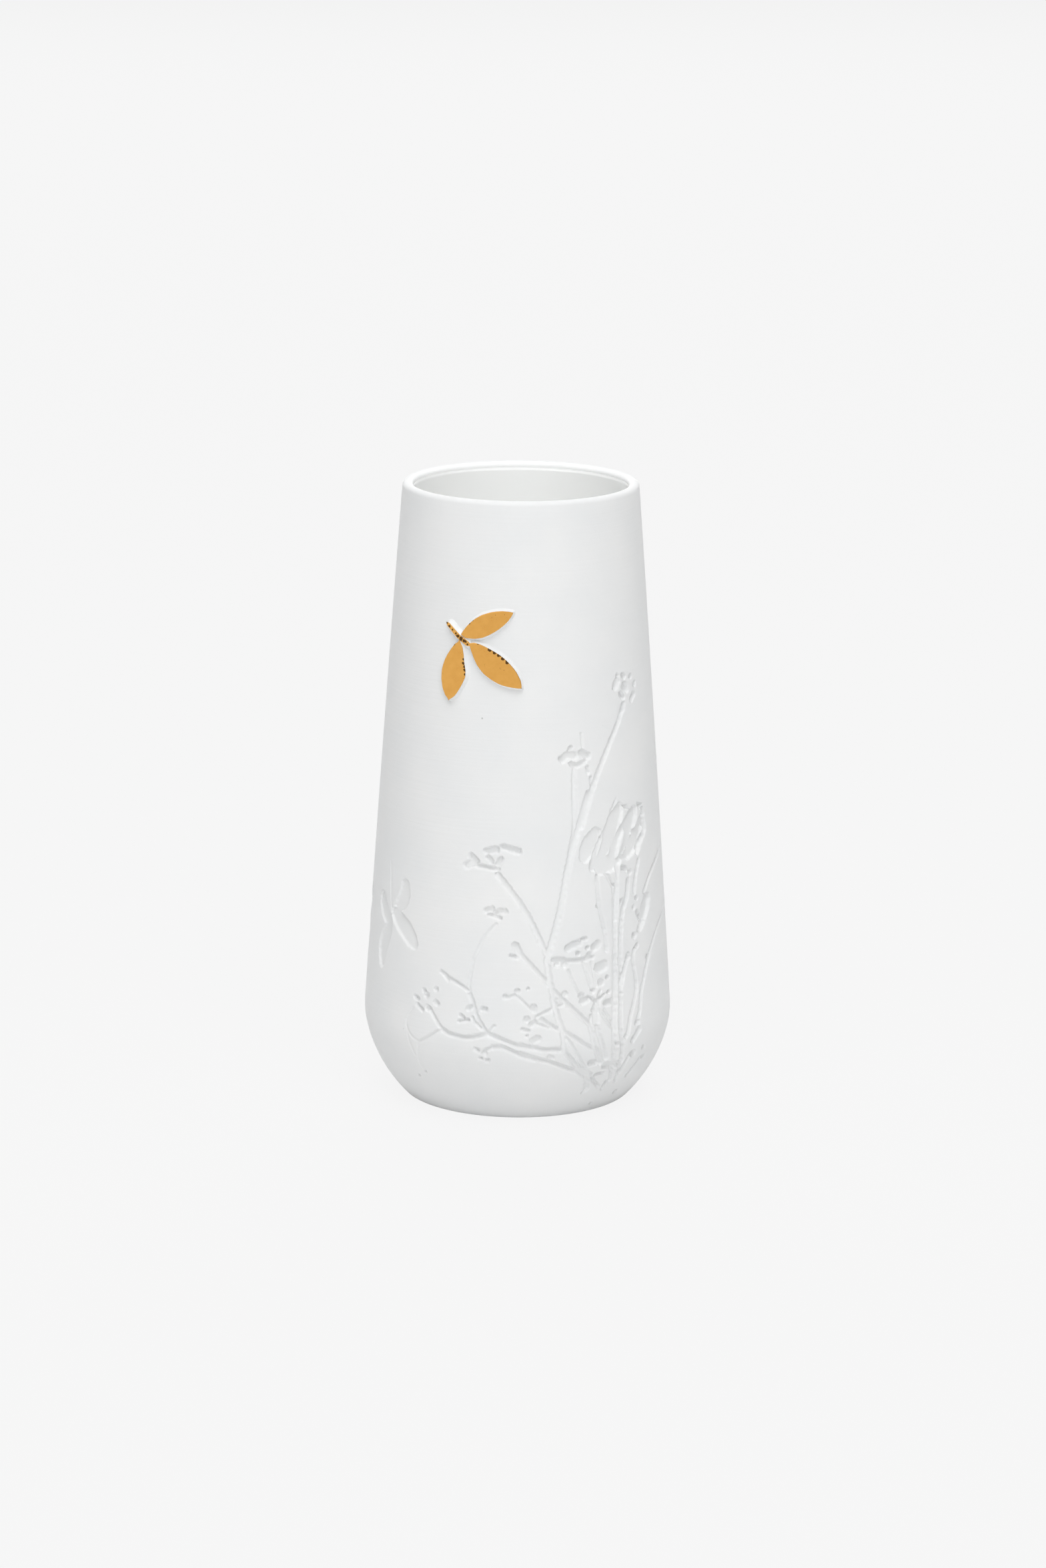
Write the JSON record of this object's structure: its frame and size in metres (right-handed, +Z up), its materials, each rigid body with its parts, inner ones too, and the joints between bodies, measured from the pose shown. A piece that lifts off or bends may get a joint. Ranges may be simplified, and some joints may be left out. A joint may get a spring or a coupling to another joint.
{
  "type": "porcelain vase",
  "caption": "Small slip-cast bisque porcelain vase, wide low belly rising to a narrow open mouth, with a raised gilded leaf sprig and shallow pressed meadow plants on its side.",
  "frame": {"origin": "centre of the plane that the foot ring stands on", "axes": "+Z up the axis of the vase, -Y towards the side with the gilded sprig"},
  "size_m": [0.06, 0.06, 0.121],
  "materials": {
    "bisque": "matt unglazed white porcelain, polished smooth",
    "clear_glaze": "clear gloss glaze over white porcelain",
    "sprig_porcelain": "matt unglazed white porcelain",
    "gold": "fired bright gold with fine pits"
  },
  "bodies": {
    "root": {"vase_body": "bisque", "inner_glaze": "clear_glaze", "twig_relief": "sprig_porcelain", "upper_leaf_relief": "sprig_porcelain", "right_leaf_relief": "sprig_porcelain", "left_leaf_relief": "sprig_porcelain", "twig_gilding": "gold", "upper_leaf_gilding": "gold", "right_leaf_gilding": "gold", "left_leaf_gilding": "gold"}
  },
  "joints": []
}
